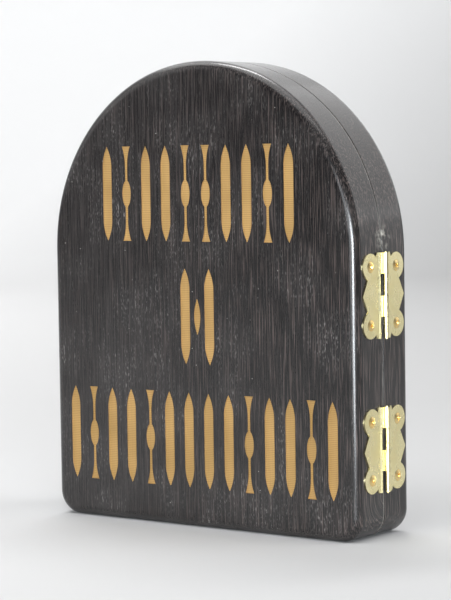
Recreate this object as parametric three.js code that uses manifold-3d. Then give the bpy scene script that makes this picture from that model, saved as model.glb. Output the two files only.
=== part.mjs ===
// A folding icon, closed: two arch-topped boards of dark stained wood that shut face to face like a book,
// on two stamped brass butterfly hinges screwed to their right-hand edges.
// Millimetres. +X runs across the front towards the hinges, -Y faces the viewer and +Z is up.
// The origin is on the floor, in the middle of the footprint.
import * as THREE from "three";
import { mergeVertices, toCreasedNormals } from "three/addons/utils/BufferGeometryUtils.js";
import Module from "manifold-3d";

const wasm = await Module();
wasm.setup();

// Driving dimensions of the boards
const BOARD_WIDTH = 146;
const BOARD_HEIGHT = 180;
const BOARD_THICKNESS = 18;
const BOTTOM_CORNER_RADIUS = 9.4;
const OUTER_ROUNDOVER = 4; // on the arris of the outer face, all the way round
const INNER_EASE = 0.6; // the small chamfer on the arris of the inner face
const CLOSED_GAP = 0.3; // between the two inner faces when the icon is shut

// The sunk field on each inner face
const FIELD_MARGIN = 13;
const FIELD_DEPTH = 1.5;
const FIELD_SLOPE = 1.2; // how far its edge slopes in from the rim to the floor
const FIELD_CORNER_RADIUS = 3;

// The engraved rows on the outer face of the front board
const ENGRAVING_DEPTH = 0.6;
const ROW_HEIGHT = 37;
const REED = { halfWidth: 2.2, point: 8 }; // point is the length of its pointed ends
const STEM_HALF_WIDTH = 0.55; // of a baluster
const BEAD = { halfWidth: 2.1, halfHeight: 5.2 };
const FOOT = { halfWidth: 2, height: 9, flare: 2.5 };
const DROP = { halfWidth: 1.5, halfHeight: 7 };
const ROWS = [
  { bottom: 110.8, width: 92, motifs: "rbrrbbrrbr" },
  { bottom: 63.4, width: 16, motifs: "rdr" },
  { bottom: 15.4, width: 129, motifs: "rbrrbrrrrbrrbr" },
];

// Driving dimensions of the hinges
const HINGE_HEIGHT = 32;
const HINGE_CENTRES = { upper: 91, lower: 33.5 }; // height of each hinge's middle above the floor
const SHEET = 0.5; // thickness of the stamped brass
const KNUCKLE_COUNT = 4;
const KNUCKLE_GAP = 0.3;
const BARREL_RADIUS = 1;
const BARREL_STANDOFF = 1.5; // from the boards' edges out to the pin's axis
const BORE_RADIUS = 0.55;
const PIN_RADIUS = 0.45;
const PIN_OVERHANG = 0.4;
const PIN_CHAMFER = 0.2;
const SLOT_REACH = 2.7; // how far a plate is cut back from the axis beside its partner's knuckle
const RAMP_FOOT = 3.5; // distance from the axis where the flat plate starts to rise to the barrel
const RAMP_HEAD = 2.9;
const LOBE_RADIUS = 5;
const LOBE_CENTRE = { across: 8.7, up: 10.8 };
const NECK_ACROSS = 10.5; // where a lobe gives way to the pointed middle
const MIDDLE_POINT = 13.9;
const SHOULDER_ACROSS = 4.3;
const NOTCH_ACROSS = 5.1;

// The countersunk screws, measured from the screw's axis and from the face of the plate
const SCREW_HEAD_RADIUS = 2.1;
const SCREW_DOME = 0.35;
const SCREW_SHANK_RADIUS = 1;
const SCREW_LENGTH = 10;
const SCREW_TIP = 1.6;
const SCREW_CLEARANCE = 0.3;
const CROSS_LENGTH = 2.3;
const CROSS_WIDTH = 0.6;
const CROSS_DEPTH = 0.7;

// Steps of the round stretches, and how meshes are joined and cut
const CREASE = Math.PI / 6; // facets that meet at more than this show as an edge
const MERGE_DISTANCE = 1e-4;
const OVERCUT = 1; // how far a cutter stands out of the face it cuts
const ARCH_STEPS = 48;
const CORNER_STEPS = 6;
const ROUNDOVER_STEPS = 4;
const BARREL_SIDES = 16;
const LOBE_STEPS = 16;
const SCREW_SIDES = 12;
const PIN_SIDES = 12;

// Worked out from the driving dimensions
const HALF_WIDTH = BOARD_WIDTH / 2;
const SPRINGLINE = BOARD_HEIGHT - HALF_WIDTH;
const INNER_FACE = CLOSED_GAP / 2;
const OUTER_FACE = INNER_FACE + BOARD_THICKNESS;
const BARREL_REACH = BARREL_STANDOFF + BARREL_RADIUS;
const KNUCKLE_PITCH = HINGE_HEIGHT / KNUCKLE_COUNT;
const HALF_HINGE = HINGE_HEIGHT / 2;

const stainedWood = new THREE.MeshStandardMaterial({
  name: "stained_wood",
  color: 0x3c3a39,
  roughness: 0.5,
  metalness: 0,
});
const brass = new THREE.MeshStandardMaterial({
  name: "brass",
  color: 0xd8c27a,
  roughness: 0.25,
  metalness: 1,
});

// Solids: closed geometry in and out of the boolean library

function toSolid(geometry) {
  const bare = geometry.clone();
  bare.deleteAttribute("normal");
  bare.deleteAttribute("uv");
  const merged = mergeVertices(bare, MERGE_DISTANCE);
  return new wasm.Manifold(
    new wasm.Mesh({
      numProp: 3,
      vertProperties: new Float32Array(merged.attributes.position.array),
      triVerts: new Uint32Array(merged.index.array),
    }),
  );
}

function toGeometry(solid) {
  const mesh = solid.getMesh();
  const geometry = new THREE.BufferGeometry();
  geometry.setAttribute("position", new THREE.BufferAttribute(mesh.vertProperties, 3));
  geometry.setIndex(new THREE.BufferAttribute(mesh.triVerts, 1));
  return toCreasedNormals(geometry, CREASE);
}

function cutAway(solid, cutters) {
  return cutters.reduce((left, cutter) => left.subtract(toSolid(cutter)), solid);
}

function boxBetween(low, high) {
  const size = high.map((value, axis) => value - low[axis]);
  const middle = high.map((value, axis) => (value + low[axis]) / 2);
  return new THREE.BoxGeometry(...size).translate(...middle);
}

// Points on an arc of the X-Z plane, both ends included
function arcPoints(x, z, radius, from, to, steps) {
  return Array.from({ length: steps + 1 }, (_, i) => {
    const angle = from + ((to - from) * i) / steps;
    return new THREE.Vector2(x + radius * Math.cos(angle), z + radius * Math.sin(angle));
  });
}

// Boards

// The arched outline seen from the front, anticlockwise from the bottom left corner
function archedOutline(halfWidth, base, cornerRadius) {
  const cornerX = halfWidth - cornerRadius;
  const cornerZ = base + cornerRadius;
  const down = (3 * Math.PI) / 2;
  return [
    ...arcPoints(-cornerX, cornerZ, cornerRadius, Math.PI, down, CORNER_STEPS),
    ...arcPoints(cornerX, cornerZ, cornerRadius, down, 2 * Math.PI, CORNER_STEPS),
    ...arcPoints(0, SPRINGLINE, halfWidth, 0, Math.PI, ARCH_STEPS),
  ];
}

// A closed skin through rings of equal point count, given from the front to the back
function loft(rings) {
  const count = rings[0].points.length;
  const positions = rings.flatMap(({ points, y }) => points.flatMap((p) => [p.x, y, p.y]));
  const index = [];
  for (let ring = 0; ring + 1 < rings.length; ring++) {
    for (let i = 0; i < count; i++) {
      const next = (i + 1) % count;
      const [a, b] = [ring * count + i, ring * count + next];
      const [d, c] = [a + count, b + count];
      index.push(a, d, c, a, c, b);
    }
  }
  const last = (rings.length - 1) * count;
  for (const [a, b, c] of THREE.ShapeUtils.triangulateShape(rings[0].points, [])) {
    index.push(a, b, c);
  }
  for (const [a, b, c] of THREE.ShapeUtils.triangulateShape(rings.at(-1).points, [])) {
    index.push(last + a, last + c, last + b);
  }
  const geometry = new THREE.BufferGeometry();
  geometry.setAttribute("position", new THREE.Float32BufferAttribute(positions, 3));
  geometry.setIndex(index);
  return geometry;
}

function boardRing(inset, y) {
  const points = archedOutline(HALF_WIDTH - inset, inset, BOTTOM_CORNER_RADIUS - inset);
  return { points, y };
}

// The board before any cut, as the front one stands: its outer face towards -Y
function boardBlank() {
  const rings = [];
  for (let step = 0; step <= ROUNDOVER_STEPS; step++) {
    const angle = ((Math.PI / 2) * step) / ROUNDOVER_STEPS;
    const inset = OUTER_ROUNDOVER * (1 - Math.sin(angle));
    rings.push(boardRing(inset, -OUTER_FACE + OUTER_ROUNDOVER * (1 - Math.cos(angle))));
  }
  rings.push(boardRing(0, -INNER_FACE - INNER_EASE));
  rings.push(boardRing(INNER_EASE, -INNER_FACE));
  return loft(rings);
}

// The shallow arched hollow of the front board's inner face
function fieldCutter() {
  const ring = (inset, y) => ({
    points: archedOutline(HALF_WIDTH - inset, inset, FIELD_CORNER_RADIUS),
    y,
  });
  return loft([
    ring(FIELD_MARGIN + FIELD_SLOPE, -INNER_FACE - FIELD_DEPTH),
    ring(FIELD_MARGIN, -INNER_FACE),
    ring(FIELD_MARGIN, INNER_FACE),
  ]);
}

// Engraved strokes: upright ornaments, each drawn as half widths up its height

const MIDDLE = ROW_HEIGHT / 2;
const fromMiddle = (height) => Math.abs(height - MIDDLE);
const fromEnd = (height) => Math.min(height, ROW_HEIGHT - height);

// A reed: a straight stroke with a pointed arch at each end
function reedHalfWidth(height) {
  const short = Math.max(0, 1 - fromEnd(height) / REED.point);
  return REED.halfWidth * (1 - short ** 2);
}

// A baluster: a slim stem with a round bead at mid height and a flared foot at each end
function balusterHalfWidth(height) {
  const round = Math.sqrt(Math.max(0, 1 - (fromMiddle(height) / BEAD.halfHeight) ** 2));
  const flare = Math.max(0, 1 - fromEnd(height) / FOOT.height) ** FOOT.flare;
  const foot = STEM_HALF_WIDTH + (FOOT.halfWidth - STEM_HALF_WIDTH) * flare;
  return Math.max(BEAD.halfWidth * round, foot);
}

// A drop: a single bead, pointed above and below, in the middle of the row
function dropHalfWidth(height) {
  return DROP.halfWidth * Math.max(0, 1 - (fromMiddle(height) / DROP.halfHeight) ** 2);
}

const even = (from, to, steps) =>
  Array.from({ length: steps + 1 }, (_, i) => from + ((to - from) * i) / steps);

// The heights at which a motif's edge gets a point, by the motif's letter in ROWS
const MOTIFS = {
  r: {
    halfWidth: reedHalfWidth,
    heights: [...even(0, REED.point, 4), ...even(ROW_HEIGHT - REED.point, ROW_HEIGHT, 4)],
  },
  b: {
    halfWidth: balusterHalfWidth,
    heights: [
      ...even(0, FOOT.height, 4),
      ...even(MIDDLE - BEAD.halfHeight, MIDDLE + BEAD.halfHeight, 8),
      ...even(ROW_HEIGHT - FOOT.height, ROW_HEIGHT, 4),
    ],
  },
  d: {
    halfWidth: dropHalfWidth,
    heights: even(MIDDLE - DROP.halfHeight, MIDDLE + DROP.halfHeight, 6),
  },
};

function strokeCutter({ halfWidth, heights }, x, bottom) {
  const right = heights.map((h) => new THREE.Vector2(x + halfWidth(h), bottom + h));
  const left = heights.map((h) => new THREE.Vector2(x - halfWidth(h), bottom + h));
  const outline = new THREE.Shape([...right, ...left.reverse()]);
  const depth = ENGRAVING_DEPTH + OVERCUT;
  const prism = new THREE.ExtrudeGeometry(outline, { depth, bevelEnabled: false });
  return prism.rotateX(Math.PI / 2).translate(0, -OUTER_FACE + ENGRAVING_DEPTH, 0);
}

function rowCutters({ bottom, width, motifs }) {
  const span = width - 2 * REED.halfWidth;
  return [...motifs].map((motif, i) =>
    strokeCutter(MOTIFS[motif], -span / 2 + (span * i) / (motifs.length - 1), bottom),
  );
}

// Screws: turned about their own axis, with +Z out of the plate and zero at the plate's face

function turned(profile, sides) {
  const points = profile.map(([radius, height]) => new THREE.Vector2(radius, height));
  return new THREE.LatheGeometry(points, sides).rotateX(Math.PI / 2);
}

// The neck is where the countersunk head runs into the shank
const SCREW_NECK = -(SCREW_HEAD_RADIUS - SCREW_SHANK_RADIUS);

function screwGeometry() {
  const dome = (share) => [SCREW_HEAD_RADIUS * share, SCREW_DOME * (1 - share ** 2)];
  const blank = turned(
    [
      [0, -SCREW_LENGTH],
      [SCREW_SHANK_RADIUS, -SCREW_LENGTH + SCREW_TIP],
      [SCREW_SHANK_RADIUS, SCREW_NECK],
      [SCREW_HEAD_RADIUS, 0],
      dome(0.7),
      [0, SCREW_DOME],
    ],
    SCREW_SIDES,
  );
  const [long, short] = [CROSS_LENGTH / 2, CROSS_WIDTH / 2];
  const floor = SCREW_DOME - CROSS_DEPTH;
  const crossArms = [
    boxBetween([-long, -short, floor], [long, short, OVERCUT]),
    boxBetween([-short, -long, floor], [short, long, OVERCUT]),
  ];
  return toGeometry(cutAway(toSolid(blank), crossArms));
}

// The hole for one screw through plate and board, clear of the screw all round
function screwHole() {
  const wide = SCREW_HEAD_RADIUS + SCREW_CLEARANCE;
  const narrow = SCREW_SHANK_RADIUS + SCREW_CLEARANCE;
  return turned(
    [
      [0, -SCREW_LENGTH - SCREW_CLEARANCE],
      [narrow, -SCREW_LENGTH - SCREW_CLEARANCE],
      [narrow, SCREW_NECK],
      [wide, 0],
      [wide, OVERCUT],
      [0, OVERCUT],
    ],
    SCREW_SIDES,
  );
}

// Stands a turned piece on the plate's face, pointing out of the boards' edge
function onPlate(geometry, across, up) {
  return geometry.rotateY(Math.PI / 2).translate(SHEET, across, up);
}

const SCREW_PLACES = [
  { name: "upper", up: LOBE_CENTRE.up },
  { name: "lower", up: -LOBE_CENTRE.up },
];

// Hinges: +X out of the boards' edge, +Y across to the back board, +Z up, zero in the hinge's middle

// The stamped outline of the back plate in Y-Z: shoulder, lobe, point, lobe, shoulder
function plateOutline() {
  const { across, up } = LOBE_CENTRE;
  const notch = Math.acos((NOTCH_ACROSS - across) / LOBE_RADIUS);
  const neck = -Math.acos((NECK_ACROSS - across) / LOBE_RADIUS);
  const topHalf = [
    new THREE.Vector2(0, HALF_HINGE),
    new THREE.Vector2(SHOULDER_ACROSS, HALF_HINGE),
    ...arcPoints(across, up, LOBE_RADIUS, notch, neck, LOBE_STEPS),
  ];
  const bottomHalf = topHalf.map((p) => new THREE.Vector2(p.x, -p.y)).reverse();
  return [...topHalf, new THREE.Vector2(MIDDLE_POINT, 0), ...bottomHalf];
}

// The sheet's section in Y-X: flat on the board, then up a ramp to the foot of the barrel
function sheetSection() {
  const rise = BARREL_STANDOFF - BARREL_RADIUS;
  const far = MIDDLE_POINT + OVERCUT;
  const under = [
    [0, rise],
    [RAMP_HEAD, rise],
    [RAMP_FOOT, 0],
    [far, 0],
  ];
  const over = under.map(([across, out]) => [across, out + SHEET]).reverse();
  return [...under, ...over].map(([across, out]) => new THREE.Vector2(across, out));
}

// Extrudes along +Z and turns the result so that the drawing's axes become the given ones
function extruded(points, depth, xAxis, yAxis, zAxis) {
  const prism = new THREE.ExtrudeGeometry(new THREE.Shape(points), { depth, bevelEnabled: false });
  return prism.applyMatrix4(new THREE.Matrix4().makeBasis(xAxis, yAxis, zAxis));
}

const X = new THREE.Vector3(1, 0, 0);
const Y = new THREE.Vector3(0, 1, 0);
const Z = new THREE.Vector3(0, 0, 1);

function knuckleSpan(number) {
  const top = HALF_HINGE - number * KNUCKLE_PITCH;
  return { top, bottom: top - KNUCKLE_PITCH };
}

function barrelCylinder(radius, bottom, top) {
  const geometry = new THREE.CylinderGeometry(radius, radius, top - bottom, BARREL_SIDES);
  return geometry.rotateX(Math.PI / 2).translate(BARREL_STANDOFF, 0, (top + bottom) / 2);
}

// The plate of the back board. It owns every second knuckle, counted from the top, and the front
// plate is the same stamping turned upside down.
function hingePlate() {
  const clear = KNUCKLE_GAP / 2;
  const stamping = toSolid(extruded(plateOutline(), SHEET + BARREL_REACH, Y, Z, X));
  const down = Z.clone().negate();
  const bent = toSolid(extruded(sheetSection(), HINGE_HEIGHT, Y, X, down).translate(0, 0, HALF_HINGE));
  let plate = stamping.intersect(bent);
  for (let number = 0; number < KNUCKLE_COUNT; number++) {
    const { top, bottom } = knuckleSpan(number);
    if (number % 2 === 1) {
      plate = plate.add(toSolid(barrelCylinder(BARREL_RADIUS, bottom + clear, top - clear)));
    } else {
      const slot = boxBetween([-OVERCUT, -OVERCUT, bottom - clear], [BARREL_REACH, SLOT_REACH, top + clear]);
      plate = plate.subtract(toSolid(slot));
    }
  }
  const bore = barrelCylinder(BORE_RADIUS, -HALF_HINGE - OVERCUT, HALF_HINGE + OVERCUT);
  const holes = SCREW_PLACES.map(({ up }) => onPlate(screwHole(), LOBE_CENTRE.across, up));
  return toGeometry(cutAway(plate, [bore, ...holes]));
}

// The pin: a plain wire with chamfered ends, standing a little proud of the knuckles
function pinGeometry() {
  const end = HALF_HINGE + PIN_OVERHANG;
  return turned(
    [
      [0, -end],
      [PIN_RADIUS - PIN_CHAMFER, -end],
      [PIN_RADIUS, -end + PIN_CHAMFER],
      [PIN_RADIUS, end - PIN_CHAMFER],
      [PIN_RADIUS - PIN_CHAMFER, end],
      [0, end],
    ],
    PIN_SIDES,
  ).translate(BARREL_STANDOFF, 0, 0);
}

// Assembly

function named(name, geometry, material) {
  const mesh = new THREE.Mesh(geometry, material);
  mesh.name = name;
  return mesh;
}

const LEAVES = { front: -1, back: 1 }; // which side of the closing plane each board is on

function hinge(name) {
  const group = new THREE.Group();
  const plate = hingePlate();
  for (const [leaf, side] of Object.entries(LEAVES)) {
    const plateMesh = named(`${name}_hinge_${leaf}_plate`, plate, brass);
    plateMesh.rotation.x = side < 0 ? Math.PI : 0;
    group.add(plateMesh);
    for (const place of SCREW_PLACES) {
      const screw = onPlate(screwGeometry(), side * LOBE_CENTRE.across, place.up);
      group.add(named(`${name}_hinge_${leaf}_${place.name}_screw`, screw, brass));
    }
  }
  group.add(named(`${name}_hinge_pin`, pinGeometry(), brass));
  group.position.set(HALF_WIDTH, 0, HINGE_CENTRES[name]);
  return group;
}

function pilotHoles(side) {
  return Object.values(HINGE_CENTRES).flatMap((centre) =>
    SCREW_PLACES.map(({ up }) =>
      onPlate(screwHole(), side * LOBE_CENTRE.across, centre + up).translate(HALF_WIDTH, 0, 0),
    ),
  );
}

function board(leaf) {
  const side = LEAVES[leaf];
  const turn = side < 0 ? 0 : Math.PI;
  const blank = toSolid(boardBlank().rotateZ(turn));
  const cutters = [fieldCutter().rotateZ(turn), ...pilotHoles(side)];
  if (leaf === "front") {
    cutters.push(...ROWS.flatMap(rowCutters));
  }
  return named(`${leaf}_board`, toGeometry(cutAway(blank, cutters)), stainedWood);
}

const foldingIcon = new THREE.Group();
foldingIcon.name = "folding_icon";
const closedPair = new THREE.Group();
closedPair.add(board("front"), board("back"));
for (const name of Object.keys(HINGE_CENTRES)) {
  closedPair.add(hinge(name));
}
closedPair.position.x = -BARREL_REACH / 2; // the barrels count in the footprint
foldingIcon.add(closedPair);

export default foldingIcon;
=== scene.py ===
import math

import bmesh
import bpy
import numpy as np
from mathutils import Matrix, Vector
from mathutils.geometry import delaunay_2d_cdt


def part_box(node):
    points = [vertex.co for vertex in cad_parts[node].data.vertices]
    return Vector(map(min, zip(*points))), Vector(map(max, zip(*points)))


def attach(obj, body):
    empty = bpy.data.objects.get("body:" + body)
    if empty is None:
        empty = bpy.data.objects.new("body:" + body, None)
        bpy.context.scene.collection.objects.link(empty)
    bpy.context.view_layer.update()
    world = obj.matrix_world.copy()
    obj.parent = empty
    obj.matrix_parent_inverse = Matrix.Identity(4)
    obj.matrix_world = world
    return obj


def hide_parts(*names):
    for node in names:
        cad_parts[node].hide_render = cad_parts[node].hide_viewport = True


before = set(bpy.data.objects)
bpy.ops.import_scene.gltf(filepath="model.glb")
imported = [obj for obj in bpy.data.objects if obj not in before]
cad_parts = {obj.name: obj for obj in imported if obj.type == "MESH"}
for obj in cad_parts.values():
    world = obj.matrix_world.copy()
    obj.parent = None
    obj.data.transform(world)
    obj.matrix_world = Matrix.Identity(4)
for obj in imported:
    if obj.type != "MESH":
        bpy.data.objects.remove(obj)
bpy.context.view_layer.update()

# The two boards. Each is one piece of ash cut to an arch, its outer arris rounded over and its inner one
# eased, with a shallow field sunk in the inner face and blind holes for the hinge screws in one edge.
BOARDS = {"front": -1, "back": 1}  # which side of the closing plane each board is on
front_low, front_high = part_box("front_board")
BOARD_MIDDLE = (front_low.x + front_high.x) / 2
HALF_WIDTH = (front_high.x - front_low.x) / 2
SPRINGLINE = front_high.z - HALF_WIDTH
OUTER_FACE = -front_low.y
SHUT = 0.0001  # how much of the solids' running gap the real boards close up
THICKNESS = front_high.y - front_low.y + SHUT
HINGE_EDGE = front_high.x
BOTTOM_CORNER = 0.0094
ROUNDOVER = 0.004
EASE = {"front": 0.0006, "back": 0.0002}  # rubbed down by hand, so not alike
FIELD_MARGIN = 0.013
FIELD_DEPTH = 0.0015
FIELD_SLOPE = 0.0012
FIELD_CORNER = 0.003
ARCH_STEPS = 120
CORNER_STEPS = 14
ROUNDOVER_STEPS = 9
EASE_STEPS = 6
HOLE_SIDES = 20
FLAT_MARGIN = 0.0004  # a face is flat to within this of its rounded edge


def arc(x, z, radius, start, end, steps):
    turns = [start + (end - start) * i / steps for i in range(steps + 1)]
    return [(x + radius * math.cos(turn), z + radius * math.sin(turn)) for turn in turns]


def arched_outline(inset, corner):
    """The board's outline in X and Z, drawn in by the inset, anticlockwise from the bottom left corner."""
    half = HALF_WIDTH - inset
    down = 1.5 * math.pi
    return [
        *arc(corner - half, inset + corner, corner, math.pi, down, CORNER_STEPS),
        *arc(half - corner, inset + corner, corner, down, 2 * math.pi, CORNER_STEPS),
        *arc(0, SPRINGLINE, half, 0, math.pi, ARCH_STEPS),
    ]


def bridge(bm, first, second, leave_open=()):
    """Joins two loops of as many points each by a band of quads."""
    count = len(first)
    for i in range(count):
        if i not in leave_open:
            j = (i + 1) % count
            bm.faces.new((first[i], first[j], second[j], second[i]))


def enclosed(loop, points):
    """Which of many flat points a closed loop goes round."""
    odd = np.zeros(len(points), bool)
    for a, b in zip(loop, loop[1:] + loop[:1]):
        if a.y != b.y:
            spans = (a.y > points[:, 1]) != (b.y > points[:, 1])
            crossing = a.x + (points[:, 1] - a.y) * (b.x - a.x) / (b.y - a.y)
            odd ^= spans & (points[:, 0] < crossing)
    return odd


def triangulated(outer, holes, creases=()):
    """Covers a flat outline around its holes with triangles whose edges also follow the creases."""
    points = []
    edges = []
    for loop in (outer, *holes):
        first = len(points)
        points += loop
        edges += [(first + i, first + (i + 1) % len(loop)) for i in range(len(loop))]
    for crease in creases:
        edges.append((len(points), len(points) + 1))
        points += crease
    whole_hull = 0
    places, _, faces, origins, *_ = delaunay_2d_cdt(points, edges, [], whole_hull, 1e-9)
    middles = np.array([sum((places[i] for i in face), Vector((0, 0))) / len(face) for face in faces])
    kept = enclosed(outer, middles)
    for hole in holes:
        kept &= ~enclosed(hole, middles)
    return places, [face for face, keep in zip(faces, kept) if keep], origins


def fill(bm, outer, holes, flat):
    """Covers a flat loop of points around its holes. flat gives a point's two coordinates in that plane."""
    points = [point for loop in (outer, *holes) for point in loop]
    flat_loops = [[Vector(flat(point.co)) for point in loop] for loop in (outer, *holes)]
    _, faces, origins = triangulated(flat_loops[0], flat_loops[1:])
    for face in faces:
        bm.faces.new([points[origins[i][0]] for i in face])


def finished_mesh(bm, name, crease_degrees):
    """Turns the working mesh into a shaded one, crisp at the edges that turn by more than the crease."""
    bmesh.ops.recalc_face_normals(bm, faces=bm.faces)
    mesh = bpy.data.meshes.new(name)
    bm.to_mesh(mesh)
    bm.free()
    mesh.shade_smooth()
    mesh.set_sharp_from_angle(angle=math.radians(crease_degrees))
    return mesh


def place(mesh, name, body, node, slot, *materials):
    """Puts a finished mesh in the scene in the place of a CAD node, riding on that node's body."""
    piece = bpy.data.objects.new(name, mesh)
    bpy.context.scene.collection.objects.link(piece)
    for material in materials:
        mesh.materials.append(material)
    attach(piece, body)
    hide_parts(node)
    return piece


# The engraving on the front board. A laser has burnt the stain away in rows of upright ornament and bared
# the light ash below, in passes that leave fine level ridges.
ENGRAVING_DEPTH = 0.0006
WALL_SLOPE = 0.25  # how far a wall leans out for each unit of depth
RASTER = 0.0007  # the real ridges are about 0.25 mm apart, drawn coarser so that they show
RIDGE = 0.00005
ROW_HEIGHT = 0.037
REED = {"half_width": 0.0022, "point": 0.008}
STEM_HALF_WIDTH = 0.00055
BEAD = {"half_width": 0.0021, "half_height": 0.0052}
FOOT = {"half_width": 0.002, "height": 0.009, "flare": 2.5}
DROP = {"half_width": 0.0015, "half_height": 0.007}
ROWS = [
    {"bottom": 0.1108, "width": 0.092, "motifs": "rbrrbbrrbr"},
    {"bottom": 0.0634, "width": 0.016, "motifs": "rdr"},
    {"bottom": 0.0154, "width": 0.129, "motifs": "rbrrbrrrrbrrbr"},
]


def from_end(height):
    return min(height, ROW_HEIGHT - height)


def from_middle(height):
    return abs(height - ROW_HEIGHT / 2)


def reed(height):
    """Half width of a straight stroke with a pointed arch at each end."""
    short = max(0, 1 - from_end(height) / REED["point"])
    return REED["half_width"] * (1 - short ** 2)


def baluster(height):
    """Half width of a slim stem with a round bead at mid height and a flared foot at each end."""
    bead = BEAD["half_width"] * math.sqrt(max(0, 1 - (from_middle(height) / BEAD["half_height"]) ** 2))
    flare = max(0, 1 - from_end(height) / FOOT["height"]) ** FOOT["flare"]
    return max(bead, STEM_HALF_WIDTH + (FOOT["half_width"] - STEM_HALF_WIDTH) * flare)


def drop(height):
    """Half width of a single bead, pointed above and below."""
    return DROP["half_width"] * max(0, 1 - (from_middle(height) / DROP["half_height"]) ** 2)


MOTIFS = {
    "r": (reed, 0, ROW_HEIGHT),
    "b": (baluster, 0, ROW_HEIGHT),
    "d": (drop, ROW_HEIGHT / 2 - DROP["half_height"], ROW_HEIGHT / 2 + DROP["half_height"]),
}


def engrave(bm, motif, x, bottom, face_y):
    """Sinks one stroke below the board's face. Returns the loop of points where it breaks the face."""
    half_width, low, high = MOTIFS[motif]
    steps = round((high - low) / (RASTER / 2))
    sides = {-1: [], 1: []}  # for each side, pairs of a point on the face and one at the wall's foot
    for i in range(steps + 1):
        height = low + (high - low) * i / steps
        half = half_width(height)
        deep = min(ENGRAVING_DEPTH, half)
        deep -= min(RIDGE, half) * (i % 2)
        for side, points in sides.items():
            if side == 1 and half < RIDGE:
                points.append(sides[-1][-1])
                continue
            top = bm.verts.new((x + side * half, face_y, bottom + height))
            if half < RIDGE:
                points.append((top, top))
                continue
            foot_x = x + side * (half - deep * WALL_SLOPE)
            points.append((top, bm.verts.new((foot_x, face_y + deep, bottom + height))))
    rows = list(zip(sides[-1], sides[1]))
    for (left, right), (next_left, next_right) in zip(rows, rows[1:]):
        for quad in (
            (left[0], next_left[0], next_left[1], left[1]),
            (right[0], right[1], next_right[1], next_right[0]),
            (left[1], next_left[1], next_right[1], right[1]),
        ):
            corners = list(dict.fromkeys(quad))
            if len(corners) > 2:
                bm.faces.new(corners).material_index = 1
    for left, right in (rows[0], rows[-1]):
        if left != right:
            bm.faces.new((left[0], left[1], right[1], right[0])).material_index = 1
    loop = [right[0] for right in sides[1]] + [left[0] for left in reversed(sides[-1])]
    return list(dict.fromkeys(loop))


def engrave_row(bm, row, face_y):
    span = row["width"] - 2 * REED["half_width"]
    start = BOARD_MIDDLE - span / 2
    pitch = span / (len(row["motifs"]) - 1)
    return [
        engrave(bm, motif, start + pitch * i, row["bottom"], face_y) for i, motif in enumerate(row["motifs"])
    ]


def screw_places(leaf):
    """Where each hinge screw of one leaf stands, as its node and its place across and up the edge."""
    places = {}
    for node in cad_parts:
        if node.endswith("screw") and f"_{leaf}_" in node:
            low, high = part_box(node)
            places[node] = (low + high) / 2
    return places


# Radius and depth below the board's edge, from the mouth of a screw hole to its end
SCREW_HOLE = [(0.0019, 0), (0.0013, 0.0006), (0.0013, 0.0098)]


def drill(bm, across, up):
    loops = []
    for radius, deep in SCREW_HOLE:
        circle = arc(across, up, radius, 0, 2 * math.pi * (1 - 1 / HOLE_SIDES), HOLE_SIDES - 1)
        loops.append([bm.verts.new((HINGE_EDGE - deep, y, z)) for y, z in circle])
    for loop, deeper in zip(loops, loops[1:]):
        bridge(bm, loop, deeper)
    bm.faces.new(loops[-1])
    return loops[0]


def board_mesh(leaf):
    side = BOARDS[leaf]
    bm = bmesh.new()

    def ring(inset, depth, corner):
        y = side * (OUTER_FACE - depth)
        return [bm.verts.new((BOARD_MIDDLE + x, y, z)) for x, z in arched_outline(inset, corner)]

    def rounded(radius, steps):
        turns = [math.pi / 2 * i / steps for i in range(steps + 1)]
        quarter = [(radius * (1 - math.sin(turn)), radius * (1 - math.cos(turn))) for turn in turns]
        return [(radius + FLAT_MARGIN, 0), *quarter, (0, radius + FLAT_MARGIN)]

    outer_profile = rounded(ROUNDOVER, ROUNDOVER_STEPS)
    inner_profile = rounded(EASE[leaf], EASE_STEPS)
    edge = [ring(inset, depth, BOTTOM_CORNER - inset) for inset, depth in outer_profile]
    eased = [
        ring(inset, THICKNESS - depth, BOTTOM_CORNER - inset) for inset, depth in reversed(inner_profile)
    ]
    field = [
        ring(FIELD_MARGIN, THICKNESS, FIELD_CORNER),
        ring(FIELD_MARGIN + FIELD_SLOPE, THICKNESS - FIELD_DEPTH, FIELD_CORNER),
    ]
    straight = 2 * CORNER_STEPS + 1  # the span of the outline that is the hinge edge
    rings = [*edge, *eased, *field]
    for first, second in zip(rings, rings[1:]):
        bridge(bm, first, second, leave_open=[straight] if first is edge[-1] else [])
    bm.faces.new(field[-1])

    hinge_edge = [edge[-1][straight], edge[-1][straight + 1], eased[0][straight + 1], eased[0][straight]]
    holes = [drill(bm, screw.y, screw.z) for screw in screw_places(leaf).values()]
    fill(bm, hinge_edge, holes, lambda point: (point.y, point.z))

    strokes = []
    if leaf == "front":
        for row in ROWS:
            strokes += engrave_row(bm, row, side * OUTER_FACE)
    fill(bm, edge[0], strokes, lambda point: (point.x, point.z))
    return finished_mesh(bm, f"{leaf}_board_mesh", 30)


# Ash stained black, sanded and waxed: near-black between fine pale pores that run up the board, with brown
# streaks towards the heart of the tree, a satin sheen, and clouds and specks of dust. The arris at the
# joint is rubbed pale and carries a painted highlight, and the edges above the upper hinge are scuffed.
def colour(code):
    """Linear colour from an sRGB hex value."""
    parts = [int(code[i:i + 2], 16) / 255 for i in (1, 3, 5)]
    linear = [part / 12.92 if part <= 0.04045 else ((part + 0.055) / 1.055) ** 2.4 for part in parts]
    return (*linear, 1)


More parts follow.
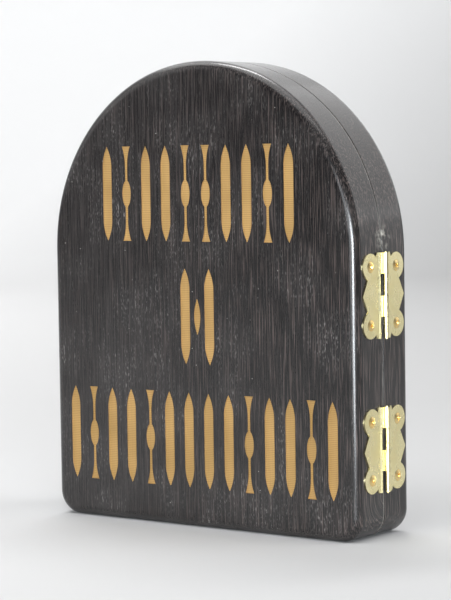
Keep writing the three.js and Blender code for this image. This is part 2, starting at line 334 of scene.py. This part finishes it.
def add(tree, kind, inputs=None, **settings):
    """Adds a shader node with its settings. An input is a value, or another node or its socket to link."""
    made = tree.nodes.new(f"ShaderNode{kind}")
    for name, value in settings.items():
        setattr(made, name, value)
    live = [socket for socket in made.inputs if socket.enabled]
    for key, value in (inputs or {}).items():
        socket = live[key] if isinstance(key, int) else next(one for one in live if one.name == key)
        if isinstance(value, bpy.types.Node):
            value = next(output for output in value.outputs if output.enabled)
        if isinstance(value, bpy.types.NodeSocket):
            tree.links.new(value, socket)
        else:
            socket.default_value = value
    return made


def new_material(name):
    material = bpy.data.materials.new(name)
    material.use_nodes = True
    material.node_tree.nodes.clear()
    return material, material.node_tree


FIBRE = {"width": 0.00036, "length": 0.022}
PORE = {"width": 0.00028, "length": 0.0017}  # real pores are half as wide, drawn coarser so that they show
PORE_LINE = {"width": 0.0009, "length": 0.05}
STREAK = {"width": 0.00042, "length": 0.014}
CLOUD = 0.022
RING_SPACING = 0.0009
RING_TAPER = 0.06  # how little the rings change along the trunk
PITH = (0.188, 0.048, 0)  # where the middle of the trunk was
HEART_NEAR, HEART_FAR = 0.13, 0.25
GRAIN_WANDER = 0.0016
WANDER_SPACING = 0.05
SPECK_SPACING = 0.006
SPECK_RADIUS = 0.0002
WEAR_AND_HIGHLIGHT = {"front": 0.7, "back": 0.1}  # how pale the arris at the joint is made: rubbed bare, plus a painted highlight
WORN_AND_HIGHLIT_TO = 0.0011
SCUFF = {"place": (HINGE_EDGE, 0.0006, 0.1125), "reach": 0.006, "grain": 0.0022}
CURL = {"top": 0.016, "pull": 0.9}  # where the front board's grain bends round a knot at its foot


def grain_coordinates(tree, offset):
    """Object coordinates that wander a little sideways along the board, as grain does."""
    where = add(tree, "TexCoord").outputs["Object"]
    stock = add(tree, "VectorMath", {0: where, 1: offset}, operation="ADD")
    slow = add(tree, "VectorMath", {0: stock, 1: (1, 1, 0.35)}, operation="MULTIPLY")
    drift = add(tree, "TexNoise", {"Vector": slow, "Scale": 1 / WANDER_SPACING, "Detail": 2})
    middle = (0.5, 0.5, 0.5)
    centred = add(tree, "VectorMath", {0: drift.outputs["Color"], 1: middle}, operation="SUBTRACT")
    sideways = (GRAIN_WANDER, GRAIN_WANDER, 0)
    return add(tree, "VectorMath", {0: centred, 1: sideways, 2: stock}, operation="MULTIPLY_ADD")


def curled(tree, coordinates, share):
    """Grain that bends below a height into curves closing on the joint, on a share of the surface."""
    parts = add(tree, "SeparateXYZ", {0: coordinates})
    below = add(tree, "Math", {0: CURL["top"], 1: parts.outputs["Z"]}, operation="SUBTRACT")
    sunk = add(tree, "Math", {0: below, 1: 0.0}, operation="MAXIMUM")
    pulled = add(tree, "Math", {0: sunk, 1: CURL["pull"]}, operation="MULTIPLY")
    reach = add(tree, "CombineXYZ", {"Y": parts.outputs["Y"], "Z": pulled})
    from_joint = add(tree, "VectorMath", {0: reach}, operation="LENGTH")
    outward = add(tree, "Math", {0: from_joint, 1: -1.0}, operation="MULTIPLY")
    depth = add(tree, "Mix", {"Factor": share, "A": parts.outputs["Y"], "B": outward})
    return add(tree, "CombineXYZ", {"X": parts.outputs["X"], "Y": depth, "Z": parts.outputs["Z"]})


def along_grain(tree, coordinates, size, detail=1):
    """Noise drawn out along the board, in features of about the given width and length."""
    drawn_out = (1, 1, size["width"] / size["length"])
    drawn = add(tree, "VectorMath", {0: coordinates, 1: drawn_out}, operation="MULTIPLY")
    return add(tree, "TexNoise", {"Vector": drawn, "Scale": 1 / size["width"], "Detail": detail})


def black_stained_ash(leaf, offset):
    material, tree = new_material(f"black_stained_ash_{leaf}")
    surface = add(tree, "TexCoord")
    across = add(tree, "SeparateXYZ", {0: surface.outputs["Normal"]}).outputs["Y"]
    facing = add(tree, "Math", {0: across}, operation="ABSOLUTE")
    on_face = add(tree, "MapRange", {"Value": facing, "From Min": 0.1, "From Max": 0.55, "To Min": 0.1})
    figure = add(tree, "MapRange", {"Value": facing, "From Min": 0.1, "From Max": 0.55, "To Min": 1.3})
    on_edge = add(tree, "MapRange", {"Value": facing, "From Min": 0.95, "From Max": 0.6})

    grain = grain_coordinates(tree, offset)
    if leaf == "front":
        grain = curled(tree, grain, on_edge)
    fibres = along_grain(tree, grain, FIBRE, 2)

    from_pith = add(tree, "VectorMath", {0: grain, 1: PITH}, operation="SUBTRACT")
    level = add(tree, "VectorMath", {0: from_pith, 1: (1, 1, RING_TAPER)}, operation="MULTIPLY")
    radius = add(tree, "VectorMath", {0: level}, operation="LENGTH")
    turn = add(tree, "Math", {0: radius, 1: 2 * math.pi / RING_SPACING}, operation="MULTIPLY")
    ring = add(tree, "Math", {0: turn}, operation="SINE")
    heartwood = {"From Min": HEART_FAR, "From Max": HEART_NEAR, "To Min": 0.3}
    heart = add(tree, "MapRange", {"Value": radius, **heartwood})

    clouds = add(tree, "TexNoise", {"Vector": grain, "Scale": 1 / CLOUD, "Detail": 3})
    patchy = add(tree, "MapRange", {"Value": clouds, "From Min": 0.44, "From Max": 0.74, "To Min": 0.12})
    dusty = add(tree, "Math", {0: patchy, 1: on_face}, operation="MULTIPLY")
    vessels = along_grain(tree, grain, PORE)
    pits = add(tree, "MapRange", {"Value": vessels, "From Min": 0.57, "From Max": 0.75})
    lines = along_grain(tree, grain, PORE_LINE)
    lined = add(tree, "MapRange", {"Value": lines, "From Min": 0.42, "From Max": 0.62, "To Min": 0.15})
    open_pits = add(tree, "Math", {0: pits, 1: lined}, operation="MULTIPLY")
    pores = add(tree, "Math", {0: open_pits, 1: dusty}, operation="MULTIPLY")
    streaks = along_grain(tree, grain, STREAK)
    thin = add(tree, "MapRange", {"Value": streaks, "From Min": 0.52, "From Max": 0.76})
    figured = add(tree, "Math", {0: thin, 1: figure}, operation="MULTIPLY")
    brown = add(tree, "Math", {0: figured, 1: heart}, operation="MULTIPLY")
    spots = add(tree, "TexVoronoi", {"Vector": grain, "Scale": 1 / SPECK_SPACING})
    rim, core = SPECK_RADIUS / SPECK_SPACING, 0.4 * SPECK_RADIUS / SPECK_SPACING
    dot = add(tree, "MapRange", {"Value": spots.outputs["Distance"], "From Min": rim, "From Max": core})
    chosen = add(tree, "MapRange", {"Value": spots.outputs["Color"], "From Min": 0.55, "From Max": 0.8})
    speck = add(tree, "Math", {0: dot, 1: chosen}, operation="MULTIPLY")

    tone = add(tree, "MapRange", {"Value": fibres, "From Min": 0.35, "From Max": 0.7})
    deepest = {"Factor": heart, "A": colour("#1a1818"), "B": colour("#111010")}
    dark = add(tree, "Mix", deepest, data_type="RGBA")
    palest = {"Factor": heart, "A": colour("#383433"), "B": colour("#211e1e")}
    light = add(tree, "Mix", palest, data_type="RGBA")
    stain = add(tree, "Mix", {"Factor": tone, "A": dark, "B": light}, data_type="RGBA")
    late = add(tree, "MapRange", {"Value": ring, "From Min": 0.2, "From Max": 1.0, "To Max": 0.35})
    stain = add(tree, "Mix", {"Factor": late, "A": stain, "B": colour("#131212")}, data_type="RGBA")
    stain = add(tree, "Mix", {"Factor": brown, "A": stain, "B": colour("#544a47")}, data_type="RGBA")
    veil = add(tree, "MapRange", {"Value": clouds, "From Min": 0.4, "From Max": 0.75, "To Max": 0.05})
    stain = add(tree, "Mix", {"Factor": veil, "A": stain, "B": colour("#8a8886")}, data_type="RGBA")
    stain = add(tree, "Mix", {"Factor": pores, "A": stain, "B": colour("#8c8784")}, data_type="RGBA")
    stain = add(tree, "Mix", {"Factor": speck, "A": stain, "B": colour("#c9c6c0")}, data_type="RGBA")

    # The arris along the joint is painted paler: wear that rubs the stain bare, plus a painted highlight of
    # the eased edge
    depth = add(tree, "SeparateXYZ", {0: surface.outputs["Object"]}).outputs["Y"]
    from_joint = add(tree, "Math", {0: depth}, operation="ABSOLUTE")
    rubbed_and_highlit = {"From Min": WORN_AND_HIGHLIT_TO, "From Max": 0.4 * WORN_AND_HIGHLIT_TO, "To Max": WEAR_AND_HIGHLIGHT[leaf]}
    by_joint = add(tree, "MapRange", {"Value": from_joint, **rubbed_and_highlit})
    uneven = add(tree, "MapRange", {"Value": clouds, "From Min": 0.38, "From Max": 0.62, "To Min": 0.15})
    arris = add(tree, "Math", {0: by_joint, 1: on_edge}, operation="MULTIPLY")
    worn_and_highlit = add(tree, "Math", {0: arris, 1: uneven}, operation="MULTIPLY")
    stain = add(tree, "Mix", {"Factor": worn_and_highlit, "A": stain, "B": colour("#a9a59d")}, data_type="RGBA")
    where = surface.outputs["Object"]
    away = add(tree, "VectorMath", {0: where, 1: SCUFF["place"]}, operation="DISTANCE")
    near = add(tree, "MapRange", {"Value": away, "From Min": SCUFF["reach"], "From Max": 0.0})
    chips = add(tree, "TexNoise", {"Vector": grain, "Scale": 1 / SCUFF["grain"], "Detail": 3})
    bare = add(tree, "MapRange", {"Value": chips, "From Min": 0.46, "From Max": 0.72})
    scuff = add(tree, "Math", {0: near, 1: bare}, operation="MULTIPLY")
    stain = add(tree, "Mix", {"Factor": scuff, "A": stain, "B": colour("#bdb9ae")}, data_type="RGBA")

    gloss = add(
        tree,
        "MapRange",
        {"Value": fibres, "From Min": 0.35, "From Max": 0.7, "To Min": 0.19, "To Max": 0.27},
    )
    relief = add(tree, "Bump", {"Height": ring, "Distance": 0.00003, "Strength": 0.04})
    shader = add(
        tree,
        "BsdfPrincipled",
        {"Base Color": stain, "Roughness": gloss, "IOR": 1.5, "Normal": relief},
    )
    add(tree, "OutputMaterial", {"Surface": shader})
    return material


# Bare ash where the laser cut: honey-coloured and matt, with level scorch lines and a trace of the grain.
SCORCH_BLOTCH = 0.02


def engraved_ash():
    material, tree = new_material("engraved_bare_ash")
    grain = grain_coordinates(tree, (0, 0, 0))
    height = add(tree, "SeparateXYZ", {0: grain}).outputs["Z"]
    turn = add(tree, "Math", {0: height, 1: 2 * math.pi / RASTER}, operation="MULTIPLY")
    line = add(tree, "Math", {0: turn}, operation="SINE")
    blotch = add(tree, "TexNoise", {"Vector": grain, "Scale": 1 / SCORCH_BLOTCH, "Detail": 2})
    bare = add(tree, "MapRange", {"Value": blotch, "From Min": 0.35, "From Max": 0.65})
    honey = {"Factor": bare, "A": colour("#a2814b"), "B": colour("#b59158")}
    wood = add(tree, "Mix", honey, data_type="RGBA")
    fibres = along_grain(tree, grain, FIBRE, 2)
    dark = add(tree, "MapRange", {"Value": fibres, "From Min": 0.5, "From Max": 0.75, "To Max": 0.35})
    wood = add(tree, "Mix", {"Factor": dark, "A": wood, "B": colour("#906f41")}, data_type="RGBA")
    scorch = add(tree, "MapRange", {"Value": line, "From Min": 0.0, "From Max": 1.0, "To Max": 0.6})
    wood = add(tree, "Mix", {"Factor": scorch, "A": wood, "B": colour("#7b5a30")}, data_type="RGBA")
    shader = add(tree, "BsdfPrincipled", {"Base Color": wood, "Roughness": 0.7, "IOR": 1.5})
    add(tree, "OutputMaterial", {"Surface": shader})
    return material


# Each board is cut from another part of the plank, so its grain starts elsewhere
STOCK_OFFSETS = {"front": (0, 0, 0), "back": (0.031, 0.042, 0.37)}
for leaf in BOARDS:
    woods = [black_stained_ash(leaf, STOCK_OFFSETS[leaf])]
    if leaf == "front":
        woods.append(engraved_ash())
    mesh = board_mesh(leaf)
    place(mesh, f"{leaf}_board_ash", f"{leaf}_leaf", f"{leaf}_board", "stained_wood", *woods)


# The hinge plates. Each is stamped from sheet brass with two round lobes, a pointed middle and tabs, then
# ramped up off the wood and rolled round the pin. Front and back plates are one stamping, turned over.
SHEET = 0.0005
BARREL_RADIUS = 0.001
BARREL_STANDOFF = 0.0015
BORE = 0.00055
HINGE_HEIGHT = 0.032
KNUCKLES = 4
KNUCKLE_GAP = 0.0003
SLOT_REACH = 0.0027
RAMP_FOOT = 0.0035
RAMP_HEAD = 0.0029
LOBE = {"radius": 0.005, "across": 0.0087, "up": 0.0108}
NECK_ACROSS = 0.0105
MIDDLE_POINT = 0.0139
SHOULDER_ACROSS = 0.0043
NOTCH_ACROSS = 0.0051
SINK_TOP = 0.0022
SINK_BOTTOM = 0.0017
ROLL_END = math.radians(286)
ROLL_STEPS = 26
LOBE_STEPS = 30
SINK_SIDES = 36


def bent(across, up, height):
    """Where a point of the flat blank ends up in the bent plate. Height is above the underside."""
    rise = BARREL_STANDOFF - BARREL_RADIUS
    thin = (BARREL_RADIUS - BORE) / SHEET  # rolling draws the sheet a little thinner
    if across < 0:
        turn = -across / BARREL_RADIUS
        radius = BARREL_RADIUS - height * thin
        return (BARREL_STANDOFF - radius * math.cos(turn), -radius * math.sin(turn), up)
    climb = min(1, max(0, (RAMP_FOOT - across) / (RAMP_FOOT - RAMP_HEAD)))
    near = min(1, max(0, 1 - across / RAMP_HEAD))
    return (rise * climb + height * (1 + (thin - 1) * near), across, up)


def blank_outline():
    """The stamped blank of the back plate, before bending: across from the pin's axis, and up."""
    half = HINGE_HEIGHT / 2
    clear = KNUCKLE_GAP / 2
    pitch = HINGE_HEIGHT / KNUCKLES
    notch = math.acos((NOTCH_ACROSS - LOBE["across"]) / LOBE["radius"])
    neck = -math.acos((NECK_ACROSS - LOBE["across"]) / LOBE["radius"])
    lobe = arc(LOBE["across"], LOBE["up"], LOBE["radius"], notch, neck, LOBE_STEPS)
    upper = [(SLOT_REACH, half), (SHOULDER_ACROSS, half), *lobe]
    outline = [*upper, (MIDDLE_POINT, 0), *[(across, -up) for across, up in reversed(upper)]]
    tab_end = -BARREL_RADIUS * ROLL_END
    for number in reversed(range(1, KNUCKLES, 2)):
        top = half - number * pitch - clear
        bottom = top - pitch + 2 * clear
        outline += [(SLOT_REACH, bottom), (tab_end, bottom), (tab_end, top), (SLOT_REACH, top)]
    return outline[::-1]


def hinge_plate_mesh(name, centre, side):
    bm = bmesh.new()
    turned = Matrix.Rotation(math.pi, 4, "X") if side < 0 else Matrix.Identity(4)
    seat = Matrix.Translation((HINGE_EDGE, 0, centre)) @ turned

    outline = [Vector(point) for point in dict.fromkeys(blank_outline())]
    sinks = []
    for up in (LOBE["up"], -LOBE["up"]):
        last = 2 * math.pi * (1 - 1 / SINK_SIDES)
        sinks.append([Vector(point) for point in arc(LOBE["across"], up, SINK_TOP, 0, last, SINK_SIDES - 1)])
    bends = [-BARREL_RADIUS * ROLL_END * i / ROLL_STEPS for i in range(ROLL_STEPS)]
    bends += [RAMP_HEAD, RAMP_FOOT]

    creases = [(Vector((across, -HINGE_HEIGHT)), Vector((across, HINGE_HEIGHT))) for across in bends]
    cut, faces, _ = triangulated(outline, sinks, creases)

    sides = {}
    for face in faces:
        for i, corner in enumerate(face):
            sides[(corner, face[(i + 1) % len(face)])] = face
    rim = {a: b for a, b in sides if (b, a) not in sides}
    previous = {b: a for a, b in rim.items()}

    def at(point, height):
        return bm.verts.new(seat @ Vector(bent(point.x, point.y, height)))

    def in_sink(point):
        middles = [Vector((LOBE["across"], up)) for up in (LOBE["up"], -LOBE["up"])]
        return min((point - middle).length for middle in middles) < LOBE["radius"] / 2

    def outward(i):
        before = (cut[i] - cut[previous[i]]).normalized()
        after = (cut[rim[i]] - cut[i]).normalized()
        away = Vector((before.y + after.y, -before.x - after.x)).normalized()
        return away / max(0.5, away.dot(Vector((after.y, -after.x))))

    tops = [at(point, SHEET) for point in cut]
    bottoms = []
    for i, point in enumerate(cut):
        if i in rim and in_sink(point):
            point = point + outward(i) * (SINK_TOP - SINK_BOTTOM)
        bottoms.append(at(point, 0))
    for face in faces:
        bm.faces.new([tops[i] for i in face])
        bm.faces.new([bottoms[i] for i in reversed(face)])
    for a, b in rim.items():
        bm.faces.new((tops[a], tops[b], bottoms[b], bottoms[a]))
    return finished_mesh(bm, name, 20)


# Sheet brass, stamped and polished to a pale gold: its look is mostly what it reflects, softened by handling
# and bent a little by the slow ripple that the press leaves.
RIPPLE = 0.006
TARNISH = 0.009


def polished_brass(name, fresh, dulled, smooth, rough):
    material, tree = new_material(name)
    where = add(tree, "TexCoord").outputs["Object"]
    ripple = add(tree, "TexNoise", {"Vector": where, "Scale": 1 / RIPPLE, "Detail": 0})
    film = add(tree, "TexNoise", {"Vector": where, "Scale": 1 / TARNISH, "Detail": 3})
    dull = add(tree, "MapRange", {"Value": film, "From Min": 0.35, "From Max": 0.65})
    tone = add(tree, "Mix", {"Factor": dull, "A": colour(fresh), "B": colour(dulled)}, data_type="RGBA")
    gloss = add(
        tree,
        "MapRange",
        {"Value": film, "From Min": 0.35, "From Max": 0.65, "To Min": smooth, "To Max": rough},
    )
    waves = add(tree, "Bump", {"Height": ripple, "Distance": 0.00003, "Strength": 0.25})
    shader = add(
        tree,
        "BsdfPrincipled",
        {"Base Color": tone, "Metallic": 1.0, "Roughness": gloss, "Normal": waves},
    )
    add(tree, "OutputMaterial", {"Surface": shader})
    return material


brass = polished_brass("polished_sheet_brass", "#f4eabb", "#f0e4ae", 0.24, 0.3)
HINGES = ("upper", "lower")
for hinge in HINGES:
    for leaf, side in BOARDS.items():
        node = f"{hinge}_hinge_{leaf}_plate"
        low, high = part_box(node)
        mesh = hinge_plate_mesh(f"{node}_mesh", (low.z + high.z) / 2, side)
        place(mesh, f"{node}_brass", f"{leaf}_leaf", node, "brass", brass)


# The hinge pins. Plain brass wire pushed through the rolled knuckles, its ends tapped round and left a
# little proud.
PIN_RADIUS = 0.00045
PIN_DOME = 0.0003
PIN_SIDES = 32
PIN_ROUND_STEPS = 5


def turned_mesh(name, profile, sides, seat, crease_degrees):
    """A solid turned about its own Z axis from radius and height pairs that start and end on the axis."""
    bm = bmesh.new()
    loops = []
    for radius, height in profile[1:-1]:
        circle = arc(0, 0, radius, 0, 2 * math.pi * (1 - 1 / sides), sides - 1)
        loops.append([bm.verts.new(seat @ Vector((x, y, height))) for x, y in circle])
    for loop, following in zip(loops, loops[1:]):
        bridge(bm, loop, following)
    for loop, (_, height) in ((loops[0], profile[0]), (loops[-1], profile[-1])):
        tip = bm.verts.new(seat @ Vector((0, 0, height)))
        for i in range(sides):
            bm.faces.new((loop[i], loop[(i + 1) % sides], tip))
    return finished_mesh(bm, name, crease_degrees)


for hinge in HINGES:
    node = f"{hinge}_hinge_pin"
    low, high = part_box(node)
    length = high.z - low.z
    turns = [math.pi / 2 * i / PIN_ROUND_STEPS for i in range(PIN_ROUND_STEPS + 1)]
    end = [(PIN_RADIUS * math.sin(turn), PIN_DOME * (1 - math.cos(turn))) for turn in turns]
    profile = [*end, *[(radius, length - height) for radius, height in reversed(end)]]
    seat = Matrix.Translation(((low.x + high.x) / 2, (low.y + high.y) / 2, low.z))
    mesh = turned_mesh(f"{node}_mesh", profile, PIN_SIDES, seat, 40)
    place(mesh, f"{node}_brass", "back_leaf", node, "brass", brass)


# The hinge screws. Small brass countersunk screws with a raised head and a crossed driver recess, driven
# through the lobes into the boards' edges, each stopped at its own angle.
HEAD_RADIUS = 0.0021
HEAD_DOME = 0.00035
SHANK_RADIUS = 0.001
SCREW_LENGTH = 0.01
SCREW_TIP = 0.0016
CROSS_LENGTH = 0.0023
CROSS_WIDTH = 0.0006
CROSS_DEPTH = 0.0007
SCREW_SIDES = 48
DOME_STEPS = 6
QUARTER_TURNS = (0.12, 0.71, 0.38, 0.9, 0.55, 0.2, 0.83, 0.47)
screw_brass = polished_brass("turned_screw_brass", "#f2dba0", "#e9c981", 0.3, 0.38)


def screw_mesh(name, seat):
    shares = [1 - i / DOME_STEPS for i in range(DOME_STEPS + 1)]
    profile = [
        (0, -SCREW_LENGTH),
        (SHANK_RADIUS, SCREW_TIP - SCREW_LENGTH),
        (SHANK_RADIUS, SHANK_RADIUS - HEAD_RADIUS),
        *[(HEAD_RADIUS * share, HEAD_DOME * (1 - share ** 2)) for share in shares],
    ]
    return turned_mesh(name, profile, SCREW_SIDES, seat, 30)


def cross_cutter(seat):
    """Two crossed blades that taper to the recess's floor."""
    bm = bmesh.new()
    for turn in (0, math.pi / 2):
        blade = Matrix.Rotation(turn, 4, "Z")
        loops = []
        for height, share in ((HEAD_DOME - CROSS_DEPTH, 0.55), (2 * HEAD_DOME, 1.15)):
            half_long, half_wide = CROSS_LENGTH / 2 * share, CROSS_WIDTH / 2 * share
            corners = [(-1, -1), (1, -1), (1, 1), (-1, 1)]
            points = [(x * half_long, y * half_wide, height) for x, y in corners]
            loops.append([bm.verts.new(seat @ blade @ Vector(point)) for point in points])
        bridge(bm, *loops)
        for loop in loops:
            bm.faces.new(loop)
    mesh = finished_mesh(bm, "cross_cutter", 30)
    cutter = bpy.data.objects.new("cross_cutter", mesh)
    bpy.context.scene.collection.objects.link(cutter)
    return cutter


def cut_with(piece, cutter):
    """Takes the cutter's shape out of a piece for good, and the cutter out of the scene."""
    modifier = piece.modifiers.new("recess", "BOOLEAN")
    modifier.operation = "DIFFERENCE"
    modifier.solver = "EXACT"
    modifier.use_self = True
    modifier.object = cutter
    ready = piece.evaluated_get(bpy.context.evaluated_depsgraph_get())
    mesh = bpy.data.meshes.new_from_object(ready)
    mesh.set_sharp_from_angle(angle=math.radians(30))
    piece.modifiers.clear()
    piece.data = mesh
    bpy.data.objects.remove(cutter)


stops = iter(QUARTER_TURNS)
for leaf in BOARDS:
    for node, middle in screw_places(leaf).items():
        face = HINGE_EDGE + SHEET
        turned = Matrix.Rotation(next(stops) * math.pi / 2, 4, "Z")
        outwards = Matrix.Rotation(math.pi / 2, 4, "Y") @ turned
        seat = Matrix.Translation((face, middle.y, middle.z)) @ outwards
        mesh = screw_mesh(f"{node}_mesh", seat)
        screw = place(mesh, f"{node}_brass", f"{leaf}_leaf", node, "brass", screw_brass)
        cut_with(screw, cross_cutter(seat))


# The studio: a seamless pale sweep under and behind the icon, a window on the photographer's side of the
# room, soft light from above, and white panels that show in the wax and the brass. The paper carries
# painted shade, darker to the right and lighter higher up.
SWEEP_FLOOR = 2.6
SWEEP_BEND = 0.9
SWEEP_HEIGHT = 3.2
SWEEP_HALF_WIDTH = 4.0
PAINTED_SHADE_WIDTH = 0.7  # over which the painted shade goes from none to full
PAINTED_SHADE_RISE = 1.3  # how far the painted shade leans to the right as the paper rises
VIEW_AZIMUTH = 36.9


def around(azimuth, distance, height):
    """A place round the icon. Azimuth 0 is straight in front of the engraved face, 90 on the hinge side."""
    turn = math.radians(azimuth)
    return Vector((math.sin(turn) * distance, -math.cos(turn) * distance, height))


def studio_sweep():
    bm = bmesh.new()
    profile = [(-SWEEP_FLOOR, 0), (SWEEP_FLOOR - SWEEP_BEND, 0)]
    profile += arc(SWEEP_FLOOR - SWEEP_BEND, SWEEP_BEND, SWEEP_BEND, -math.pi / 2, 0, 24)[1:]
    profile.append((SWEEP_FLOOR, SWEEP_HEIGHT))
    facing = Matrix.Rotation(math.radians(VIEW_AZIMUTH), 4, "Z")
    rails = []
    for x in (-SWEEP_HALF_WIDTH, SWEEP_HALF_WIDTH):
        rails.append([bm.verts.new(facing @ Vector((x, y, z))) for y, z in profile])
    for i in range(len(profile) - 1):
        bm.faces.new((rails[0][i], rails[1][i], rails[1][i + 1], rails[0][i + 1]))
    return finished_mesh(bm, "studio_sweep_mesh", 60)


def painted_shade_paper():
    material, tree = new_material("backdrop_paper_with_painted_shade")
    where = add(tree, "TexCoord").outputs["Object"]
    rightward = around(VIEW_AZIMUTH + 90, 1, 0)
    across = add(tree, "VectorMath", {0: where, 1: rightward}, operation="DOT_PRODUCT")
    mottle = add(tree, "TexNoise", {"Vector": where, "Scale": 3.0, "Detail": 2})
    height = add(tree, "SeparateXYZ", {0: where}).outputs["Z"]
    # Painted shade: the paper darkens to the right and lightens higher up, standing in for falling light and
    # the icon's shadow
    level = add(tree, "Math", {0: height, 1: -PAINTED_SHADE_RISE, 2: across}, operation="MULTIPLY_ADD")
    shade = add(tree, "Math", {0: mottle, 1: 0.05, 2: level}, operation="MULTIPLY_ADD")
    half = PAINTED_SHADE_WIDTH / 2
    painted_shade_share = add(tree, "MapRange", {"Value": shade, "From Min": -half, "From Max": half})
    lit_to_shaded = {"Factor": painted_shade_share, "A": colour("#e9e9e9"), "B": colour("#bababa")}
    tone = add(tree, "Mix", lit_to_shaded, data_type="RGBA")
    shader = add(tree, "BsdfPrincipled", {"Base Color": tone, "Roughness": 0.9, "Specular IOR Level": 0.1})
    add(tree, "OutputMaterial", {"Surface": shader})
    return material


sweep = bpy.data.objects.new("studio_sweep", studio_sweep())
sweep.data.materials.append(painted_shade_paper())
bpy.context.scene.collection.objects.link(sweep)


AIM_HEIGHT = 0.09
DAYLIGHT = "#f4faff"


def softbox(name, position, aim, width, height, watts, tint="#ffffff"):
    light = bpy.data.lights.new(name, "AREA")
    light.shape = "RECTANGLE"
    light.size = width
    light.size_y = height
    light.energy = watts
    light.color = colour(tint)[:3]
    lamp = bpy.data.objects.new(name, light)
    lamp.location = position
    lamp.rotation_euler = (aim - position).to_track_quat("-Z", "Y").to_euler()
    bpy.context.scene.collection.objects.link(lamp)
    return lamp


ICON = Vector((0, 0, AIM_HEIGHT))
softbox("window", around(43, 2.0, 0.2), ICON, 0.5, 0.44, 42, DAYLIGHT)
softbox("window_spill", around(20, 2.0, 0.4), ICON, 0.7, 0.9, 9, DAYLIGHT)
softbox("left_light", around(-60, 1.8, 0.9), ICON, 1.4, 1.4, 6.3)
softbox("side_card", around(147, 2.0, 0.25), ICON, 1.0, 0.55, 1.6)
softbox("backdrop_light", around(225, 0.9, 1.9), around(232, 2.2, 0.16), 1.0, 0.6, 33)
floor_light = softbox("floor_light", around(143, 1.5, 1.5), around(143, 1.4, 0), 0.9, 0.9, 2)
floor_light.data.spread = math.radians(80)

# Even light on the floor round the base, kept out of the reflections
overhead = softbox("overhead", around(40, 0.75, 2.0), ICON, 1.8, 1.8, 19.5)
front_fill = softbox("front_fill", around(-5, 0.45, 0.8), around(-5, 0.07, 0), 0.3, 0.3, 0.18)
front_fill.data.spread = math.radians(60)
side_fill = softbox("side_fill", around(115, 0.9, 0.9), around(100, 0.12, 0), 0.6, 0.6, 1.1)
side_fill.data.spread = math.radians(90)
for lamp in (overhead, front_fill, side_fill):
    lamp.visible_glossy = False

# Panels that are there only for their reflections along the arch, the rounded arris and the hinges
low_window = softbox("low_window", around(49, 0.36, 0.03), ICON, 0.075, 0.08, 0.4, DAYLIGHT)
low_window.visible_camera = False  # it stands close by
panels = [
    low_window,
    softbox("ceiling", around(60, 0.1, 2.1), ICON, 2.0, 2.0, 32),
    softbox("canopy", around(190, 1.5, 2.1), ICON, 4.2, 1.0, 10),
    softbox("left_canopy", around(270, 1.5, 2.0), ICON, 1.4, 0.9, 13),
    softbox("right_back_panel", around(165, 2.1, 1.15), ICON, 2.7, 1.4, 16),
    softbox("left_back_panel", around(236, 2.1, 1.15), ICON, 2.7, 1.4, 4),
]
for panel in panels:
    panel.visible_diffuse = False

world = bpy.data.worlds.new("room")
world.use_nodes = True
world.node_tree.nodes["Background"].inputs["Color"].default_value = colour("#3a3a3c")
bpy.context.scene.world = world
bpy.context.scene.view_settings.view_transform = "Standard"

# The camera stands where the photograph was taken from, to the hinge side and just above the icon.
VIEW_ELEVATION = 3.65
VIEW_ROLL = -0.87
VIEW_DISTANCE = 0.859
VIEW_SHIFT = (0.000108, -0.0027)
LENS = 131.82
tilt = math.radians(VIEW_ELEVATION)
view_back = around(VIEW_AZIMUTH, math.cos(tilt), math.sin(tilt))
view_level = around(VIEW_AZIMUTH + 90, 1, 0)
roll = Matrix.Rotation(math.radians(VIEW_ROLL), 3, view_back)
view_right = roll @ view_level
view_up = roll @ view_back.cross(view_level)
camera_data = bpy.data.cameras.new("camera")
camera_data.lens = LENS
camera = bpy.data.objects.new("camera", camera_data)
aim = Vector((BOARD_MIDDLE, 0, AIM_HEIGHT))
stand = aim + view_back * VIEW_DISTANCE + view_right * VIEW_SHIFT[0] + view_up * VIEW_SHIFT[1]
turned = Matrix((view_right, view_up, view_back)).transposed().to_4x4()
camera.matrix_world = Matrix.Translation(stand) @ turned
bpy.context.scene.collection.objects.link(camera)
bpy.context.scene.camera = camera
